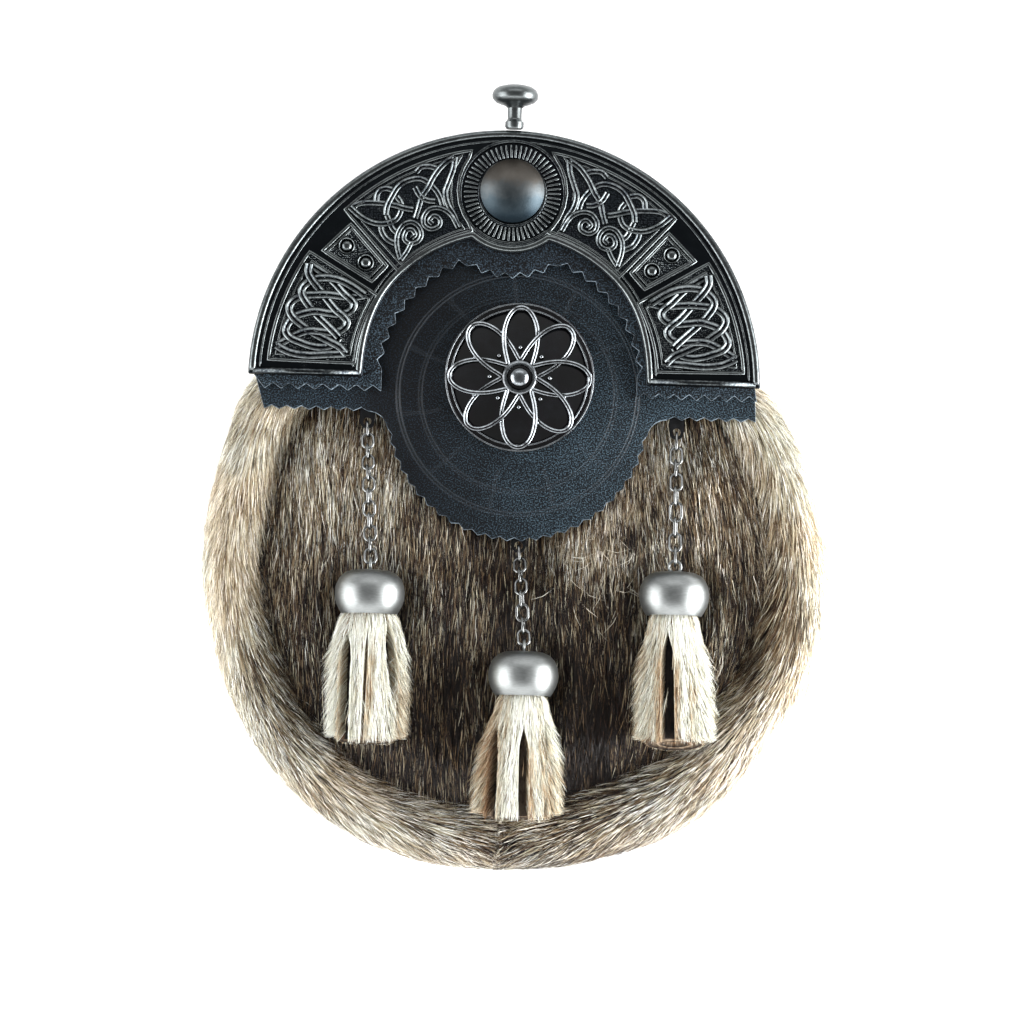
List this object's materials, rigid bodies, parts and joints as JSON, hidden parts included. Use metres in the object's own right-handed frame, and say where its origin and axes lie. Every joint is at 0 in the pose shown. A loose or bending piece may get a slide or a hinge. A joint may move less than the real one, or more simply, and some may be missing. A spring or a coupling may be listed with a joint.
{
  "type": "sporran pouch",
  "caption": "Fur sporran pouch: a cast metal arch over a pinked leather flap with a round badge, fur tassels in metal caps on chains, strap rings behind.",
  "frame": {"origin": "middle of the footprint of the whole object as it lies on its back, on the surface it lies on", "axes": "+Y up the front from the bottom of the fur to the knob, +X to the right as the front is seen, +Z out of the front and up from the surface"},
  "size_m": [0.1903, 0.2354, 0.0515],
  "materials": {
    "fur": "dense ticked seal-type fur, matte",
    "tassel_fur": "cream fur strips, matte",
    "leather": "fine-grained black leather, semi-matte",
    "blackened_metal": "black-nickel cast metal, polished on its ridges",
    "pewter": "brushed pewter grey",
    "chain_metal": "dark plated wire",
    "badge_metal": "bright polished silver-coloured metal",
    "gloss_black": "glossy black enamel"
  },
  "bodies": {
    "root": {"back_panel": "leather", "gusset_left": "fur", "gusset_right": "fur", "fur_front_panel": "fur", "leather_flap": "leather", "leather_underlay": "leather", "cantle": "blackened_metal", "roundel_dome": "pewter", "closure_stud": "blackened_metal", "badge": "badge_metal", "badge_backing": "gloss_black", "chain_tab_left": "leather", "link_left_01": "chain_metal", "link_left_02": "chain_metal", "link_left_03": "chain_metal", "link_left_04": "chain_metal", "link_left_05": "chain_metal", "link_left_06": "chain_metal", "link_left_07": "chain_metal", "link_left_08": "chain_metal", "link_left_09": "chain_metal", "link_left_10": "chain_metal", "link_left_11": "chain_metal", "link_left_12": "chain_metal", "tassel_cap_left": "pewter", "tassel_left": "tassel_fur", "chain_tab_right": "leather", "link_right_01": "chain_metal", "link_right_02": "chain_metal", "link_right_03": "chain_metal", "link_right_04": "chain_metal", "link_right_05": "chain_metal", "link_right_06": "chain_metal", "link_right_07": "chain_metal", "link_right_08": "chain_metal", "link_right_09": "chain_metal", "tassel_cap_right": "pewter", "tassel_right": "tassel_fur", "chain_tab_centre": "leather", "link_centre_01": "chain_metal", "link_centre_02": "chain_metal", "link_centre_03": "chain_metal", "link_centre_04": "chain_metal", "link_centre_05": "chain_metal", "link_centre_06": "chain_metal", "link_centre_07": "chain_metal", "link_centre_08": "chain_metal", "tassel_cap_centre": "pewter", "tassel_centre": "tassel_fur", "ring_tab_left": "leather", "strap_ring_left": "chain_metal", "ring_tab_right": "leather", "strap_ring_right": "chain_metal"}
  },
  "joints": []
}
